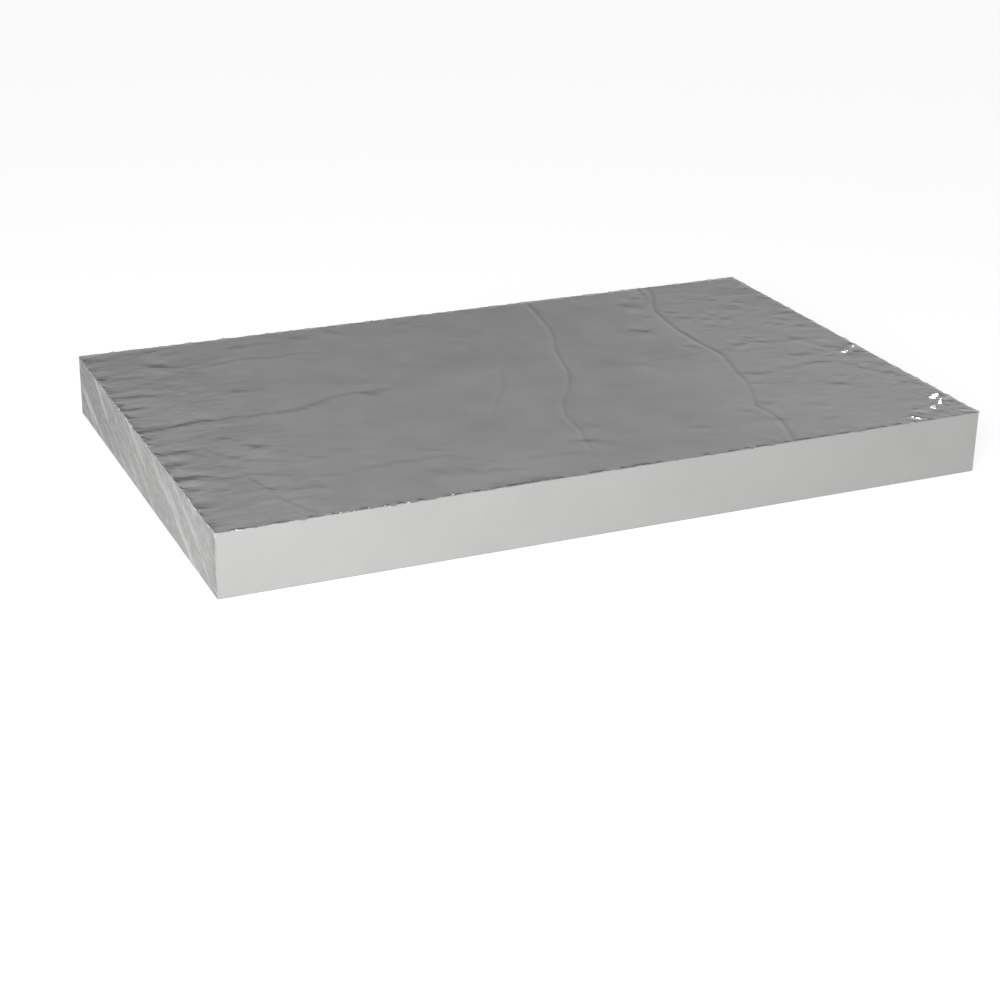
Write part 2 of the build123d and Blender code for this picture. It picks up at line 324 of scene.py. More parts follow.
# The foam's patterns, from real sizes. Its cells are about 0.3 mm wide, too fine to show, so they are
# drawn as coarse as they need to be for a faint tooth
FOAM_CELL, CELL_DEPTH, CELL_STRENGTH = 2.6 * MM, 0.25 * MM, 0.35
FOAM_PATCH = 55 * MM
WIRE_TURN = (-0.42, 0.03, 0)  # how the wire slanted through the block, in radians
# The drag lines' noise: the wire's marks in relief, and where it runs high, painted caustic light on the ends
DRAG_LINE, DRAG_STRETCH, DRAG_BETWEEN = 17 * MM, (0.1, 0.1, 1), (0.48, 0.70)
FIBRE, FIBRE_STRETCH, FIBRE_BETWEEN, FIBRE_RANGE = 3.8 * MM, (0.25, 0.25, 1), (0.42, 0.68), (-0.12, 0.34)
SPECKS_BETWEEN, SPECKS = (0.50, 0.34), 0.4
SHADE_FAR, SHADE_FAR_BETWEEN = 1.0, (0.0, 310 * MM)  # painted shade: the ends are painted darker towards the far corners
SHADE_NEAR, SHADE_NEAR_BETWEEN = 0.6, (-285 * MM, -308 * MM)  # and painted shade in a narrow strip at the near ones
DRAG_DEPTH, DRAG_ON_SIDES, DRAG_ON_ENDS = 1.5 * MM, 0.25, 0.6
FIBRE_DEPTH, FIBRE_STRENGTH = 1.5 * MM, 0.8
FOAM_ROUGHNESS = 0.9


def srgb(code):
    """The linear colour of an sRGB hex value, with full alpha."""
    parts = [int(code.lstrip("#")[i:i + 2], 16) / 255 for i in (0, 2, 4)]
    return (*(p / 12.92 if p <= 0.04045 else ((p + 0.055) / 1.055) ** 2.4 for p in parts), 1.0)


def smooth(low, high, value):
    """From 0 at low to 1 at high, level at both ends."""
    t = np.clip((value - low) / (high - low), 0, 1)
    return t * t * (3 - 2 * t)


LATTICE = 128  # points each way, after which the random ground comes round again


def hills(x, y, along, across, seed):
    """Smooth random ground between about -1 and 1, whose hills are along by across in size."""
    table = np.random.default_rng(seed).uniform(-1, 1, (LATTICE, LATTICE))
    u, v = np.asarray(x) / along, np.asarray(y) / across
    i, j = np.floor(u).astype(int), np.floor(v).astype(int)
    s, t = u - i, v - j
    s, t = s**3 * (s * (6 * s - 15) + 10), t**3 * (t * (6 * t - 15) + 10)
    i, j, i1, j1 = i % LATTICE, j % LATTICE, (i + 1) % LATTICE, (j + 1) % LATTICE
    near = table[i, j] * (1 - s) + table[i1, j] * s
    far = table[i, j1] * (1 - s) + table[i1, j1] * s
    return near * (1 - t) + far * t


def turned_hills(x, y, size, angle, seed):
    """As hills, with the ground turned, so that its lattice doesn't show."""
    c, s = math.cos(angle), math.sin(angle)
    return hills(c * x + s * y, c * y - s * x, size, size, seed)


def laid(x, y, kinds):
    """Several kinds of random ground, laid on each other."""
    return sum(height * hills(x, y, *kind) for height, *kind in kinds)


def waves(run, height, length, seed):
    """Smooth random ups and downs along a line."""
    return height * hills(run, 0 * run, length, 1, seed)


def smooth_run(points, step):
    """A smooth line through the points, with a point about every step."""
    points = np.array(points, float)
    ends = 2 * points[0] - points[1], 2 * points[-1] - points[-2]
    ring = np.vstack([ends[0], points, ends[1]])
    spans = []
    for a, b, c, d in zip(ring, ring[1:], ring[2:], ring[3:]):
        t = np.arange(0, 1, step / max(np.linalg.norm(c - b), step))[:, None]
        spans.append(b + 0.5 * t * (c - a + t * (2 * a - 5 * b + 4 * c - d + t * (3 * b - a - 3 * c + d))))
    return np.vstack([*spans, points[-1:]])


def ridge(v):
    """Foil pinched up in a line: a straight side to the right of its run, and a hollow one to the left."""
    hollow, foot = 1.3, 4.5
    return np.where(v < 0, np.clip(1 + v, 0, 1), np.exp(-v / hollow)) * np.clip(1 - (v / foot) ** 2, 0, 1)


def painted_ridge_light(v):
    """Painted light along a ridge: a painted highlight beside its crest, and painted shade along its lee."""
    bright, bright_width, lee_shade, lee_shade_width = -0.65, 0.6, 1.1, 0.75
    return np.exp(-(((v - bright) / bright_width) ** 2)) - np.exp(-(((v - lee_shade) / lee_shade_width) ** 2))


def lean(v):
    """Foil that leans over: a low swell, then a steep fall through the middle into a slight trough."""
    foot = 4
    return -v / (1 + v * v) * np.clip(1 - (v / foot) ** 2, 0, 1) ** 2


def sag(v):
    """A shallow dent, seen from its low side: an even slope across the middle, and soft banks."""
    depth, bank, foot = 0.8, 0.8, 3.2
    return -np.sign(v) * np.minimum(np.abs(v), depth * (1 - smooth(bank, foot, np.abs(v))))


def facet(v):
    """Foil crushed to an edge: upright to the right of its run, and a flat slope down to the left."""
    return np.clip(np.minimum(1 + v / UPRIGHT, 1 - v), 0, 1)


class Fold:
    """One fold of the foil along a smooth run, with its cross-section in half widths across it."""

    def __init__(self, section, points, half_width, height, start=1.0, end=1.0, seed=0, fade=1.0):
        self.section, self.fade = section, fade
        self.run = smooth_run(points, RUN_STEP)
        heading = np.gradient(self.run, axis=0)
        self.heading = heading / np.linalg.norm(heading, axis=1)[:, None]
        self.across = np.column_stack([-self.heading[:, 1], self.heading[:, 0]])
        along = np.linspace(0, 1, len(self.run))
        fullness = start + (1 - start) * smooth(0, FULL_BY, along)
        fullness = fullness * (end + (1 - end) * smooth(1, DIES_FROM, along))
        length = along * RUN_STEP * len(self.run)
        half = half_width * (THIN + SWELLED * fullness)
        self.half = half * (1 + waves(length, *WIDTH_WAVES, seed + 50))
        self.height = height * fullness * (1 + waves(length, *HEIGHT_WAVES, seed))

    def lift(self, plan):
        """How far the fold lifts the foil at each point of plan."""
        lifted = np.zeros(len(plan))
        reach = SECTION_REACH * self.half.max()
        inside = (plan > self.run.min(0) - reach) & (plan < self.run.max(0) + reach)
        near = np.flatnonzero(inside.all(1))
        for part in np.array_split(near, 1 + len(near) // BATCH):
            offset = plan[part, None] - self.run[None]
            best = (offset**2).sum(2).argmin(1)
            gap = offset[np.arange(len(part)), best]
            past = (gap * self.heading[best]).sum(1) / self.half[best]
            side = (gap * self.across[best]).sum(1) / self.half[best]
            lifted[part] = self.height[best] * self.section(side) * np.exp(-((self.fade * past) ** 2))
        return lifted

    def rows(self, shares):
        """Points of the mesh along the fold, at the given shares of its half width."""
        for share in shares:
            yield self.run + self.across * (self.half * share)[:, None]


def folds_of_the_facing():
    """Every fold of the facing: those that need mesh rows of their own, and those that don't."""
    sharp, soft = [], []
    for i, (points, reach, rise) in enumerate(FACETS):
        sharp.append(Fold(facet, points, reach, rise, seed=FACET_SEED + i, fade=FACET_FADE))
    for i, (points, height, half, _, end) in enumerate(RIDGES):
        sharp.append(Fold(ridge, points, half, height, 1.0, end, i))
    for i, (points, half, slope, start, end) in enumerate(BUCKLES):
        soft.append(Fold(lean, points, half, slope * half, start, end, BUCKLE_SEED + i))
    for i, (across, reach, drift, half, slope) in enumerate(PUCKERS):
        points = [(-HALF[0] - PUCKER_START, across)]
        points += [(reach / 2 - HALF[0], across + EARLY_DRIFT * drift), (reach - HALF[0], across + drift)]
        soft.append(Fold(sag, points, half, slope * half, 1.0, PUCKER_END, PUCKER_SEED + i))
    for i, (along, across, half_length, half, slope) in enumerate(DIMPLES):
        points = [(along - half_length / 2, across), (along + half_length / 2, across)]
        ends = (DIMPLE_ENDS, DIMPLE_ENDS)
        soft.append(Fold(sag, points, half, slope * half, *ends, DIMPLE_SEED + i, DIMPLE_FADE))
    return sharp, soft


def painted_crease_light(plan):
    """How strong the painted highlight, above 0, or the painted shade, below 0, along the ridges is at each
    point of plan.
    """
    painted_light = np.zeros(len(plan))
    for i, (points, _, half, painted_strength, end) in enumerate(RIDGES):
        painted_light += Fold(painted_ridge_light, points, half, painted_strength, 1.0, end, i).lift(plan)
    return painted_light


def strewn(count, low, high, seed):
    """Small faint buckles of the foil, strewn over one end of the board."""
    chance = np.random.default_rng(seed)
    for _ in range(count):
        middle, angle = chance.uniform(low, high), chance.normal(0, STREWN_SPREAD)
        along = chance.uniform(*STREWN_LENGTH) * np.array([math.cos(angle), math.sin(angle)])
        half = chance.uniform(*STREWN_WIDTH)
        slope = chance.uniform(*STREWN_SLOPE) * chance.choice([1, 1, 1, -1])
        points = [middle - along, middle + along]
        yield Fold(lean, points, half, slope * half, STREWN_ENDS, STREWN_ENDS, STREWN_SEED)


def dragged_up(x, y, inset, height, reach, uneven, *kind):
    """How far the knife lifted the foil along one edge."""
    return height * (1 - smooth(0, reach, inset)) * (1 + uneven * hills(x, y, *kind))


def foil_height(plan, folds):
    """How high the foil's upper side stands above the slab's top at each point of plan."""
    x, y = plan.T
    ends = smooth(*BUSY_ENDS, np.abs(x)) * np.where(x > 0, RIGHT_SHARE, 1)
    rim = 1 - smooth(*BUSY_RIM, (HALF - np.abs(plan)).min(1))
    strayed = plan + np.column_stack([laid(x, y, STRAY_ALONG), laid(x, y, STRAY_ACROSS)])
    lifted = np.full(len(plan), FOIL_LEVEL)
    for height, *kind in SWELLS:
        lifted += height * turned_hills(x, y, *kind)
    for all_over, at_ends, at_rim, *kind in GROUND:
        lifted += (all_over + at_ends * ends + at_rim * rim) * hills(x, y, *kind)
    height, reach, *kind = LEFT_CRINKLES
    lifted += height * (1 - smooth(0, reach, HALF[0] + x)) * hills(x, y, *kind)
    handled = sum(np.exp(-((x - u) ** 2 + (y - v) ** 2) / HANDLED_REACH**2) for u, v in HANDLED)
    lifted += handled * laid(x, y, CRUMPLES)
    lifted += dragged_up(x, y, HALF[1] + y, *FRONT_DRAG)
    lifted += dragged_up(x, y, HALF[0] + x, *LEFT_DRAG)
    for all_over, at_ends, at_rim, *kind in HOLLOWS:
        lifted -= (all_over + at_ends * ends + at_rim * rim) * np.abs(turned_hills(x, y, *kind))
    crushed = np.zeros(len(plan))
    for fold in folds:
        if fold.section is facet:
            crushed = np.maximum(crushed, fold.lift(plan))
        else:
            lifted += fold.lift(plan if fold.section is ridge else strayed)
    return lifted + crushed


def rim_row(inset):
    """Points of a rectangle that lies inset inside the slab's outline, all the way round."""
    half = HALF - inset
    corners = [(-half[0], -half[1]), (half[0], -half[1]), (half[0], half[1]), (-half[0], half[1])]
    sides = []
    for start, end in zip(corners, corners[1:] + corners[:1]):
        count = round(2 * HALF[0 if start[1] == end[1] else 1] / RIM_STEP)
        t = np.linspace(0, 1, count, endpoint=False)[:, None]
        sides.append(np.array(start) * (1 - t) + np.array(end) * t)
    return np.vstack(sides)


class Spread:
    """Points of a mesh, kept from crowding: what comes first keeps its place."""

    CELL = 1.1  # a point keeps others out of its own cell and those round it
    SPARE = 3  # cells more than the board has, for those round its edge
    SLACK = 0.01  # how far a rounded point may lie outside the board

    def __init__(self):
        self.points = []
        self.taken = np.zeros(np.ceil(2 * HALF / self.CELL).astype(int) + self.SPARE, bool)

    def add(self, points, crowd=1):
        """Add the points that lie on the board and crowd none taken, and say which cells they lie in."""
        points = points[(np.abs(points) <= HALF + self.SLACK).all(1)]
        i, j = np.floor((points + HALF) / self.CELL).astype(int).T + 1
        free = np.ones(len(points), bool)
        for di in range(-crowd, crowd + 1):
            for dj in range(-crowd, crowd + 1):
                free &= ~self.taken[i + di, j + dj]
        self.points.append(points[free])
        return i[free], j[free]

    def take(self, cells):
        """Keep what comes later out of these cells."""
        self.taken[cells] = True


def field(left, right, step):
    """Points of an even triangular field between two places along the board."""
    xs = np.arange(left, right, step)
    ys = np.arange(-HALF[1] + FIELD_MARGIN, HALF[1] - FIELD_MARGIN + 0.5, step * FIELD_ROW)
    gx, gy = np.meshgrid(xs, ys)
    gx[1::2] += step / 2
    return np.column_stack([gx.ravel(), gy.ravel()])


def foil_plan(folds, fine_step, plain_step):
    """Where the facing's points lie: rows along the trimmed edge and the sharp folds, and a field between."""
    spread = Spread()
    rims = [spread.add(rim_row(inset), 0) for inset in RIM_ROWS]
    for cells in rims:
        spread.take(cells)
    room = HALF - RIM_ROWS[-1] - ROW_GAP
    for fold in folds:
        shares = FACET_ROWS if fold.section is facet else RIDGE_ROWS
        rows = [row[(np.abs(row) < room).all(1)] for row in fold.rows(shares)]
        for cells in [spread.add(row) for row in rows]:
            spread.take(cells)
    edge = HALF[0] - FIELD_MARGIN
    spread.add(field(-edge, CALM_FROM, fine_step))
    spread.add(field(CALM_FROM, CALM_TO, plain_step))
    spread.add(field(CALM_TO, edge, fine_step))
    return np.vstack(spread.points)


def burrs(run, spacing, seed):
    """How much of a burr the knife left at each place along the trimmed edge."""
    chance = np.random.default_rng(seed)
    places = np.cumsum(chance.exponential(spacing, int(12 * HALF.sum() / spacing))) + RUN_START
    strengths = chance.uniform(*BURR_STRENGTH, len(places))
    widths = chance.uniform(*BURR_WIDTH, len(places))
    order = np.argsort(run)
    grown = np.zeros(len(run))
    for place, strength, width in zip(places, strengths, widths):
        first, last = np.searchsorted(run[order], (place - BURR_TAIL * width, place + BURR_TAIL * width))
        some = order[first:last]
        grown[some] = np.maximum(grown[some], strength * np.exp(-(((run[some] - place) / width) ** 2)))
    return grown


def trimmed(plan, lifted, seed):
    """The foil's points after the knife: the edge wanders, curls up a little, and has its burrs."""
    x, y = plan.T
    inset = (HALF - np.abs(plan)).min(1)
    short = (HALF - np.abs(plan)).argmin(1) == 0
    run = np.where(short, y + SHORT_RUN * np.sign(x), x + LONG_RUN * np.sign(y))
    front = RAGGED_FRONT - FRONT_CALMER * smooth(*CALMER_PAST, x)
    ends = np.where(x < 0, RAGGED_LEFT, RAGGED_RIGHT)
    ragged = np.where(short, ends, np.where(y < 0, front, RAGGED_BACK))
    edge, rim = 1 - smooth(0, OUT_REACH, inset), 1 - smooth(0, CURL_REACH, inset)
    wander = OUT + waves(run, *OUT_WAVES, seed) + waves(run, *OUT_RIPPLES, seed + 1)
    droop = DROOP * ragged * smooth(*DROOP_BETWEEN, waves(run, *DROOP_WAVES, seed + 6))
    up = ragged * burrs(run, UP_SPACING, seed + 4)
    down = np.maximum(droop, ragged * burrs(run, DOWN_SPACING, seed + 5))
    out = edge * wander * (1 - down) + down * np.interp(inset, RIM_ROWS, BURR_OUT)
    outward = np.column_stack([short * np.sign(x), ~short * np.sign(y)])
    moved = np.clip(plan + outward * out[:, None], FOIL_LOW[:2] + CLEAR, FOIL_HIGH[:2] - CLEAR)
    curl = rim**3 * (CURL + waves(run, *CURL_WAVES, seed + 3))
    curl = curl + up * np.interp(inset, RIM_ROWS[:3], BURR_UP)
    lifted = np.clip(lifted + curl, LEAST_RISE - SUNK * smooth(*GLUED, inset), RISE_ROOM)
    hangs = down * (inset < ON_THE_EDGE)
    return moved, lifted * (1 - hangs) - BURR_HANG * hangs


def mesh_object(name, points, faces, material):
    """A smooth-shaded mesh object at the origin, from points in millimetres."""
    mesh = bpy.data.meshes.new(name)
    mesh.from_pydata((np.asarray(points) * MM).tolist(), [], faces)
    mesh.shade_smooth()
    mesh.materials.append(material)
    mesh.update()
    mesh.set_sharp_from_angle(angle=SHARP_ANGLE)
    made = bpy.data.objects.new(name, mesh)
    bpy.context.scene.collection.objects.link(made)
    return made


def triangulated(plan):
    """Delaunay triangles over the points, as (points, faces)."""
    points, _, faces, *_ = delaunay_2d_cdt([Vector(p) for p in plan], [], [], 0, MERGED, False)
    return np.array([tuple(p) for p in points]), [tuple(f) for f in faces]


def build_facing(settings):
    """The foil: an upper side with every fold, an underside that is glued down, thin at the rim."""
    thickness = settings.foil / MM
    sharp, soft = folds_of_the_facing()
    room, end = HALF[1] - STREWN_ROOM, HALF[0] - STREWN_MARGIN
    soft += strewn(settings.left_wrinkles, (-end, -room), (STREWN_LEFT, room), LEFT_SEED)
    soft += strewn(settings.right_wrinkles, (STREWN_RIGHT, -room), (end, room), RIGHT_SEED)
    folds = sharp + soft
    plan, upper = triangulated(foil_plan(sharp, settings.fine_step / MM, settings.plain_step / MM))
    moved, lifted = trimmed(plan, foil_height(plan, folds), KNIFE_SEED)

    under_plan, under = triangulated(np.vstack([rim_row(inset) for inset in (*RIM_ROWS, UNDER_ROW)]))
    under_moved, under_lifted = trimmed(under_plan, foil_height(under_plan, folds), KNIFE_SEED)
    glued = smooth(*GLUED, (HALF - np.abs(under_plan)).min(1))
    under_lifted = (under_lifted - thickness) * (1 - glued) - (SUNK + thickness) * glued

    ring, under_ring = (
        {tuple(np.round(p, 2)): i for i, p in enumerate(points)} for points in (plan, under_plan)
    )
    loop = [tuple(np.round(p, 2)) for p in rim_row(0)]
    base = len(plan)
    wall = []
    for here, there in zip(loop, loop[1:] + loop[:1]):
        wall.append((base + under_ring[here], base + under_ring[there], ring[there], ring[here]))
    upper_points = np.column_stack([moved, TOP + lifted])
    under_points = np.column_stack([under_moved, TOP + under_lifted])
    faces = upper + [tuple(base + i for i in reversed(f)) for f in under] + wall
    points = np.vstack([upper_points, under_points])
    facing = mesh_object("foil_facing_creased", points, faces, rolled_foil(settings))
    # The ridges' painted highlight and painted shade, kept on the mesh for the material
    painted_light = np.concatenate([painted_crease_light(plan), np.zeros(len(under_plan))])
    facing.data.attributes.new(CREASE_LIGHT_ATTRIBUTE, "FLOAT", "POINT").data.foreach_set("value", painted_light.astype(np.float32))
    return facing


class Paint:
    """A node tree from empty, with short ways to the nodes that repeat. Inputs take values or outputs."""

    def __init__(self, owner):
        owner.use_nodes = True
        self.owner, self.tree = owner, owner.node_tree
        self.tree.nodes.clear()

    def node(self, kind, settings=(), **links):
        """One node, with its settings, and its inputs by their names or as i and a number."""
        made = self.tree.nodes.new("ShaderNode" + kind)
        for name, value in dict(settings).items():
            setattr(made, name, value)
        for name, value in links.items():
            numbered = name[0] == "i" and name[1:].isdigit()
            socket = made.inputs[int(name[1:]) if numbered else name.replace("_", " ")]
            if isinstance(value, bpy.types.NodeSocket):
                self.tree.links.new(value, socket)
            else:
                socket.default_value = value
        return made

    def maths(self, operation, *values, clamp=False):
        """A number worked out from one to three others."""
        settings = {"operation": operation, "use_clamp": clamp}
        links = {f"i{index}": value for index, value in enumerate(values)}
        return self.node("Math", settings, **links).outputs[0]

    def ranged(self, value, between, to):
        """A value carried from one span to another, and held at both ends of it."""
        (start, stop), (low, high) = between, to
        return self.node("MapRange", i0=value, i1=start, i2=stop, i3=low, i4=high).outputs[0]

    def noise(self, place, size, detail):
        """Soft random patches of a size."""
        return self.node("TexNoise", Vector=place, Scale=1 / size, Detail=detail).outputs[0]

    def mapped(self, place, **turned_or_stretched):
        """A place turned or stretched."""
        return self.node("Mapping", Vector=place, **turned_or_stretched).outputs[0]

    def mixed(self, share, first, second):
        """Two colours mixed, each an output or an sRGB hex value."""
        first, second = (srgb(one) if isinstance(one, str) else one for one in (first, second))
        return self.node("Mix", {"data_type": "RGBA"}, i0=share, i6=first, i7=second).outputs[2]

    def bump(self, height, depth, strength, **below):
        """Relief too fine to be geometry, laid over what is below it."""
        return self.node("Bump", Strength=strength, Distance=depth, Height=height, **below).outputs[0]

    def principled(self, **links):
        """The usual surface shader."""
        return self.node("BsdfPrincipled", **links).outputs[0]

    def finished(self, shader):
        """The owner of the tree, with the shader as its surface."""
        target = "OutputWorld" if isinstance(self.owner, bpy.types.World) else "OutputMaterial"
        self.node(target, Surface=shader)
        return self.owner


def rolled_foil(settings):
    """Rolled aluminium foil, bright side out. It gives the eye a slightly blurred mirror, an even grey where
    it lies calm, with dull patches that fade towards the right end as a painted reflection, a faint grain
    along the roll, and a painted highlight and painted shade along the ridges."""
    paint = Paint(bpy.data.materials.new("rolled_aluminium_foil"))
    place = paint.node("TexCoord").outputs["Object"]
    dull = paint.noise(place, DULL_PATCH, 4.0)
    grain = paint.noise(paint.mapped(place, Scale=ROLL_STRETCH), ROLL_LINE, 2.0)
    along = paint.node("SeparateXYZ", Vector=place).outputs[0]
    # Dull patches of handled foil, faded towards the right end as a painted reflection
    dull_less_reflection = paint.maths("SUBTRACT", dull, paint.ranged(along, LIGHTER_BETWEEN, PAINTED_LIGHTER), clamp=True)
    colour = paint.mixed(dull_less_reflection, settings.clean_colour, settings.dull_colour)
    painted_light = paint.node("Attribute", {"attribute_name": CREASE_LIGHT_ATTRIBUTE}).outputs["Fac"]
    # A painted highlight on one side of each ridge, and painted shade along its lee
    for way, painted_colour in ((-1.0, settings.crease_shade_colour), (1.0, settings.crease_highlight_colour)):
        colour = paint.mixed(paint.maths("MULTIPLY", painted_light, way, clamp=True), colour, painted_colour)
    rough = paint.maths("MULTIPLY_ADD", grain, ROLL_ROUGHNESS, FOIL_ROUGHNESS)
    rough = paint.maths("MULTIPLY_ADD", dull, DULL_ROUGHNESS, rough)
    handled = paint.ranged(paint.maths("ABSOLUTE", along), CRINKLED_BETWEEN, CRINKLED)
    bump = paint.bump(paint.noise(place, CRINKLE, 3.0), CRINKLE_DEPTH, handled)
    return paint.finished(paint.principled(Base_Color=colour, Metallic=1.0, Roughness=rough, Normal=bump))


def cut_foam(settings):
    """Closed-cell foam parted by a hot wire. It gives the eye a pale matt wall with a faint tooth, and on the
    ends the wire's slanting drag lines, torn to fibres, with painted caustic light along them, darker specks,
    and painted shade towards the corners."""
    paint = Paint(bpy.data.materials.new("closed_cell_foam_wire_cut"))
    place = paint.node("TexCoord").outputs["Object"]
    slanted = paint.mapped(place, Rotation=WIRE_TURN)
    drag = paint.noise(paint.mapped(slanted, Scale=DRAG_STRETCH), DRAG_LINE, 2.5)
    torn = paint.noise(paint.mapped(slanted, Scale=FIBRE_STRETCH), FIBRE, 2.0)
    facing = paint.node("TexCoord").outputs["Normal"]
    endwise = paint.node("VectorMath", {"operation": "MULTIPLY"}, i0=facing, i1=(1, 0, 0)).outputs[0]
    endwise = paint.node("VectorMath", {"operation": "LENGTH"}, i0=endwise).outputs["Value"]
    fibres = paint.ranged(torn, FIBRE_BETWEEN, FIBRE_RANGE)
    # Lighter streaks along the drag lines and fibres on the ends: painted caustic light over the wire's real
    # marks
    line = paint.maths("ADD", paint.ranged(drag, DRAG_BETWEEN, (0.0, 1.0)), fibres, clamp=True)
    line = paint.maths("MULTIPLY", line, endwise)
    colour = paint.mixed(paint.noise(place, FOAM_PATCH, 5.0), settings.foam_colour, settings.shade_colour)
    across = paint.node("SeparateXYZ", Vector=place).outputs[1]
    # Painted shade on the ends towards the far corners and in a strip at the near ones, with darker specks of
    # the foam's own
    specks_and_shade = paint.ranged(across, SHADE_FAR_BETWEEN, (0.0, SHADE_FAR))
    specks_and_shade = paint.maths("ADD", specks_and_shade, paint.ranged(torn, SPECKS_BETWEEN, (0.0, SPECKS)))
    specks_and_shade = paint.maths("ADD", specks_and_shade, paint.ranged(across, SHADE_NEAR_BETWEEN, (0.0, SHADE_NEAR)))
    specks_and_shade = paint.maths("MULTIPLY", specks_and_shade, endwise, clamp=True)
    colour = paint.mixed(specks_and_shade, colour, settings.specks_and_shade_colour)
    colour = paint.mixed(line, colour, settings.streak_light_colour)
    scored = paint.maths("MULTIPLY_ADD", endwise, DRAG_ON_ENDS, DRAG_ON_SIDES)
    bump = paint.bump(drag, DRAG_DEPTH, scored)
    bump = paint.bump(paint.maths("MULTIPLY", torn, endwise), FIBRE_DEPTH, FIBRE_STRENGTH, Normal=bump)
    cells = paint.node("TexVoronoi", Vector=place, Scale=1 / FOAM_CELL).outputs["Distance"]
    bump = paint.bump(cells, CELL_DEPTH, CELL_STRENGTH, Normal=bump)
    return paint.finished(paint.principled(Base_Color=colour, Roughness=FOAM_ROUGHNESS, Normal=bump))


def build_slab(settings):
    """The slab: slightly uneven cut walls, eased corners and lower edges, a top pressed in under the foil."""
    radius, ease, step = settings.corner / MM, settings.ease / MM, settings.wall_step / MM
    outline, outward = [], []
    sides = [((1, -1), (1, 0)), ((1, 1), (0, 1)), ((-1, 1), (-1, 0)), ((-1, -1), (0, -1))]
    for index, (corner, facing) in enumerate(sides):
        middle, ahead = (HALF - radius) * corner, (HALF - radius) * sides[(index + 1) % 4][0]
        for angle in np.radians(np.linspace(-90, 0, CORNER_POINTS) + 90 * index):
            outward.append((math.cos(angle), math.sin(angle)))
            outline.append(middle + radius * np.array(outward[-1]))
        start, end = outline[-1], ahead + radius * np.array(facing)
        count = round(np.linalg.norm(end - start) / step)
        for t in np.linspace(0, 1, count + 1)[1:-1]:
            outline.append(start * (1 - t) + end * t)
            outward.append(facing)
    outline, outward = np.array(outline), np.array(outward)
    on_end = np.abs(outward[:, 0]) > np.abs(outward[:, 1])
    run = np.where(on_end, outline[:, 1] + END_RUN, outline[:, 0])
    rows = []
    heights = [*LOW_ROWS, ease, *np.arange(WALL_FROM, TOP - WALL_TO, step), *(TOP - gap for gap in HIGH_ROWS)]
    for z in heights:
        eased = ease * (1 - math.sqrt(max(0, 1 - (1 - min(z / ease, 1)) ** 2)))
        level, slanted = np.full(len(run), float(z)), z - WIRE_SLANT * run
        uneven = sum(
            depth * np.abs(hills(run, up, *kind))
            for up, (depth, *kind) in ((level, WALL_SWELLS), (slanted, WIRE_MARKS))
        )
        rows.append(np.column_stack([outline - outward * (eased + uneven * (0 < z < TOP))[:, None], level]))
    for inset, sunk in PRESSED_ROWS:
        rows.append(np.column_stack([outline - outward * inset, np.full(len(run), TOP - sunk)]))
    count = len(outline)
    faces = []
    for row in range(len(rows) - 1):
        low, high = row * count, (row + 1) * count
        for i in range(count):
            j = (i + 1) % count
            faces.append((low + i, low + j, high + j, high + i))
    last = (len(rows) - 1) * count
    faces += [tuple(range(count - 1, -1, -1)), tuple(range(last, last + count))]
    return mesh_object("foam_slab_cut", np.vstack(rows), faces, cut_foam(settings))


class SlabSettings(bpy.types.PropertyGroup):
    corner: FloatProperty(
        name="Corner Radius", description="Rounding of the upright corners", default=0.002, unit="LENGTH"
    )
    ease: FloatProperty(
        name="Lower Ease", description="Rounding of the edges underneath", default=0.0015, unit="LENGTH"
    )
    wall_step: FloatProperty(
        name="Mesh Step", description="Mesh step on the cut walls", default=0.003, unit="LENGTH"
    )
    foam_colour: StringProperty(name="Foam", description="sRGB hex value of clean foam", default="#D7D7D6")
    shade_colour: StringProperty(
        name="Foam Shade", description="sRGB hex value of handled foam", default="#CECECD"
    )
    # Colour of the ends' darker specks and of their painted shade
    specks_and_shade_colour: StringProperty(
        name="Foam Specks and Shade", description="sRGB hex value of the ends' darker specks and painted shade", default="#BEBEBD"
    )
    # Colour of the painted caustic light along the ends' streaks
    streak_light_colour: StringProperty(
        name="Caustic Streaks", description="sRGB hex value of the painted caustic light along the wire's lines", default="#FAFAF9"
    )


class FacingSettings(bpy.types.PropertyGroup):
    foil: FloatProperty(
        name="Foil", description="Thickness of the foil with its glue film", default=0.0001, unit="LENGTH"
    )
    fine_step: FloatProperty(
        name="End Mesh Step", description="Mesh step at the ends", default=0.0025, unit="LENGTH"
    )
    plain_step: FloatProperty(
        name="Middle Mesh Step", description="Mesh step in the middle", default=0.0043, unit="LENGTH"
    )
    left_wrinkles: IntProperty(
        name="Left Wrinkles", description="Small buckles near the left end", default=110
    )
    right_wrinkles: IntProperty(
        name="Right Wrinkles", description="Small buckles near the right end", default=130
    )
    clean_colour: StringProperty(name="Foil", description="sRGB hex value of clean foil", default="#F0F0F0")
    dull_colour: StringProperty(
        name="Dull Foil", description="sRGB hex value of handled foil", default="#CECECE"
    )
    # Colours of the ridges' painted highlight and painted shade
    crease_highlight_colour: StringProperty(
        name="Crease Highlight", description="sRGB hex value of the painted highlight on a crease", default="#F6F6F6"
    )
    crease_shade_colour: StringProperty(
        name="Crease Shade", description="sRGB hex value of the painted shade along a crease's lee", default="#C2C2C2"
    )


class StageSettings(bpy.types.PropertyGroup):
    floor_colour: StringProperty(name="Floor", description="sRGB hex value of the floor", default="#E6E6E6")
    lens: FloatProperty(name="Lens", description="Focal length in millimetres", default=74.56, unit="CAMERA")


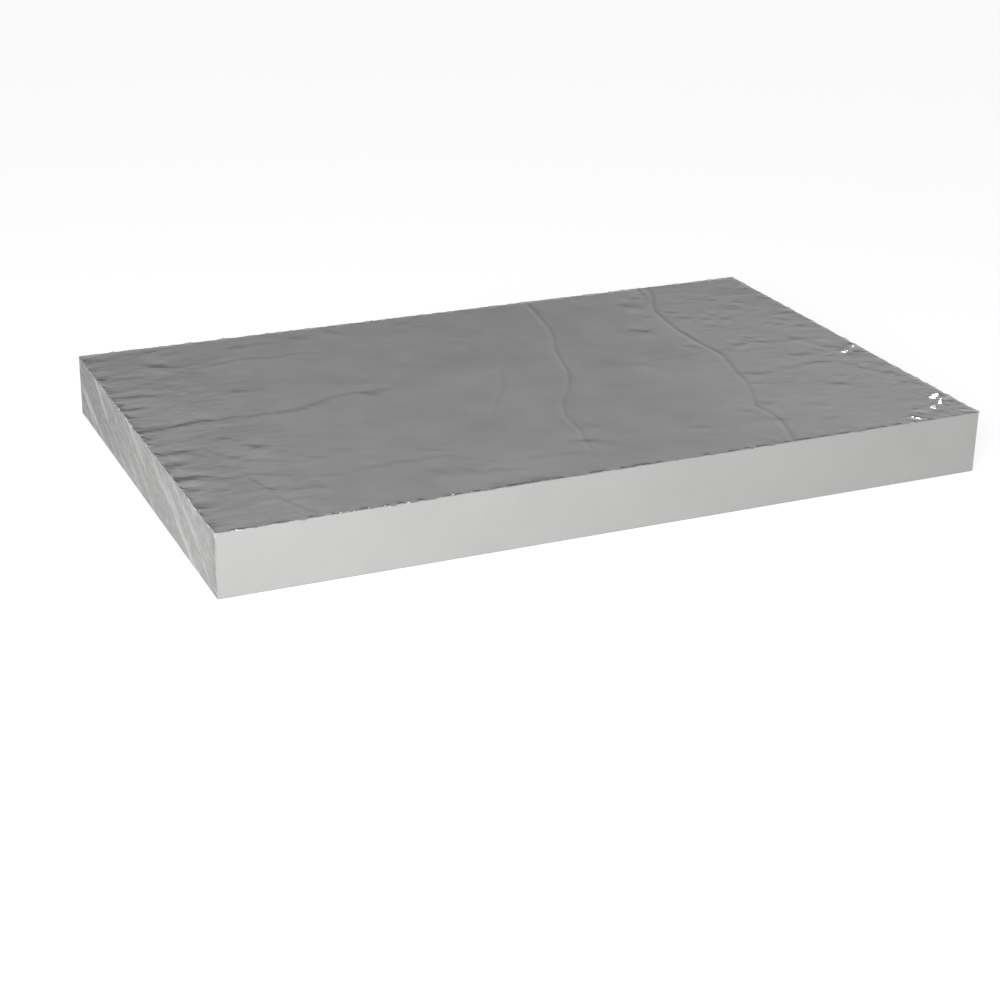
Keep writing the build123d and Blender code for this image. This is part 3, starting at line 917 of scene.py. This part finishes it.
# Camera, worked out from the photograph's corners of the board, with its place in metres
CAMERA_PLACE = Vector((-1.0592, -2.2998, 0.9941))
CAMERA_AHEAD = Vector((0.37846, 0.83859, -0.39184))
CAMERA_ROLL = math.radians(0.91)
CAMERA_SENSOR = 36.0
CAMERA_CLIP = (0.05, 200.0)

# The studio's walls and ceiling: pale round a pole behind and above the camera, dark on the far side.
# Each stop is how far a direction leans to the pole, from -1 to 1, and its brightness
STUDIO_POLE = Vector((-0.20, -0.585, 0.785))
STUDIO = [
    (-1, 0.06), (-0.62, 0.07), (-0.50, 0.10), (-0.43, 0.15), (-0.38, 0.235), (-0.345, 0.30), (-0.32, 0.318),
    (-0.265, 0.32), (-0.23, 0.345), (-0.15, 0.40), (-0.05, 0.44), (0.1, 0.46), (1, 0.40),
]
FLOOR_LIFT = 0.61  # what the camera, and metal and glass, see of the floor above its lit colour
FLOOR_RADIUS, FLOOR_SIDES = 60, 96  # the radius in metres
FLOOR_ROUGHNESS = 0.9

# The softbox, in metres and watts: its place, what it faces, its two sides and its power
KEY_PLACE, KEY_TARGET, KEY_SIDES, KEY_POWER = (-1.05, -1.65, 0.95), (0, 0, 0.05), (1.0, 0.8), 18


def build_stage(settings):
    """A wide pale floor, a studio that is dark on the far side and pale behind, a softbox and the camera."""
    scene = bpy.context.scene
    scene.view_settings.view_transform = "Standard"
    angles = np.linspace(0, 2 * math.pi, FLOOR_SIDES, endpoint=False)
    rim = FLOOR_RADIUS / MM * np.column_stack([np.cos(angles), np.sin(angles), 0 * angles])
    mesh_object("studio_floor", rim, [tuple(range(len(rim)))], floor_paint(settings))

    world = Paint(bpy.data.worlds.new("studio"))
    toward = world.node("TexCoord").outputs["Generated"]
    dot = {"operation": "DOT_PRODUCT"}
    leaning = world.node("VectorMath", dot, i0=toward, i1=STUDIO_POLE).outputs["Value"]
    ramp = world.node("ValToRGB", i0=world.ranged(leaning, (-1.0, 1.0), (0.0, 1.0)))
    stops = ramp.color_ramp.elements
    while len(stops) < len(STUDIO):
        stops.new(0.5)
    for stop, (lean_there, level) in zip(stops, STUDIO):
        stop.position = (lean_there + 1) / 2
        stop.color = (level, level, level, 1)
    glow = world.node("Background", Color=ramp.outputs[0], Strength=1.0).outputs[0]
    scene.world = world.finished(glow)

    softbox("key_softbox", KEY_PLACE, KEY_TARGET, KEY_SIDES, KEY_POWER)

    data = bpy.data.cameras.new("camera")
    data.lens, data.sensor_width = settings.lens, CAMERA_SENSOR
    data.clip_start, data.clip_end = CAMERA_CLIP
    camera = bpy.data.objects.new("camera", data)
    turn = CAMERA_AHEAD.to_track_quat("-Z", "Y").to_matrix().to_4x4()
    camera.matrix_world = Matrix.Translation(CAMERA_PLACE) @ turn @ Matrix.Rotation(CAMERA_ROLL, 4, "Z")
    scene.collection.objects.link(camera)
    scene.camera = camera


def floor_paint(settings):
    """Matt studio floor, which camera, metal and glass see white, and which keeps the board's shadow."""
    paint = Paint(bpy.data.materials.new("matt_studio_floor"))
    lit = paint.principled(Base_Color=srgb(settings.floor_colour), Roughness=FLOOR_ROUGHNESS)
    glow = paint.node("Emission", Strength=FLOOR_LIFT).outputs[0]
    both = paint.node("AddShader", i0=lit, i1=glow).outputs[0]
    ray = paint.node("LightPath").outputs
    seen = paint.maths("MAXIMUM", ray["Is Camera Ray"], ray["Is Glossy Ray"])
    seen = paint.maths("MAXIMUM", seen, ray["Is Transmission Ray"])
    return paint.finished(paint.node("MixShader", i0=seen, i1=lit, i2=both).outputs[0])


def softbox(name, place, target, sides, power):
    """A rectangular softbox that faces the target."""
    data = bpy.data.lights.new(name, "AREA")
    data.shape, data.size, data.size_y, data.energy = "RECTANGLE", *sides, power
    lamp = bpy.data.objects.new(name, data)
    lamp.location = place
    lamp.rotation_euler = (Vector(target) - Vector(place)).to_track_quat("-Z", "Y").to_euler()
    lamp.visible_camera = False
    bpy.context.scene.collection.objects.link(lamp)


class FOAMSHEET_OT_slab(bpy.types.Operator):
    """Build the cut foam slab"""

    bl_idname = "foamsheet.slab"
    bl_label = "Foam Slab"

    def execute(self, context):
        slab = build_slab(context.scene.foam_slab)
        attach(slab, "root")
        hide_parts("foam_sheet")
        return {"FINISHED"}


class FOAMSHEET_OT_facing(bpy.types.Operator):
    """Build the creased foil facing"""

    bl_idname = "foamsheet.facing"
    bl_label = "Foil Facing"

    def execute(self, context):
        facing = build_facing(context.scene.foil_facing)
        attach(facing, "root")
        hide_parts("foil_facing")
        return {"FINISHED"}


class FOAMSHEET_OT_stage(bpy.types.Operator):
    """Build the floor, the studio, its softbox and the camera"""

    bl_idname = "foamsheet.stage"
    bl_label = "Studio"

    def execute(self, context):
        build_stage(context.scene.foam_stage)
        return {"FINISHED"}


class FOAMSHEET_PT_panel(bpy.types.Panel):
    bl_label = "Foam Sheet"
    bl_space_type = "VIEW_3D"
    bl_region_type = "UI"
    bl_category = "Foam Sheet"

    def draw(self, context):
        scene = context.scene
        for group, operator in (
            (scene.foam_slab, FOAMSHEET_OT_slab),
            (scene.foil_facing, FOAMSHEET_OT_facing),
            (scene.foam_stage, FOAMSHEET_OT_stage),
        ):
            box = self.layout.box()
            for name in group.__annotations__:
                box.prop(group, name)
            box.operator(operator.bl_idname)


CLASSES = (
    SlabSettings,
    FacingSettings,
    StageSettings,
    FOAMSHEET_OT_slab,
    FOAMSHEET_OT_facing,
    FOAMSHEET_OT_stage,
    FOAMSHEET_PT_panel,
)


def register():
    for kind in CLASSES:
        bpy.utils.register_class(kind)
    bpy.types.Scene.foam_slab = PointerProperty(type=SlabSettings)
    bpy.types.Scene.foil_facing = PointerProperty(type=FacingSettings)
    bpy.types.Scene.foam_stage = PointerProperty(type=StageSettings)


def unregister():
    for name in ("foam_slab", "foil_facing", "foam_stage"):
        delattr(bpy.types.Scene, name)
    for kind in reversed(CLASSES):
        bpy.utils.unregister_class(kind)


def main():
    register()
    bpy.ops.foamsheet.slab()
    bpy.ops.foamsheet.facing()
    bpy.ops.foamsheet.stage()


if __name__ == "__main__":
    main()
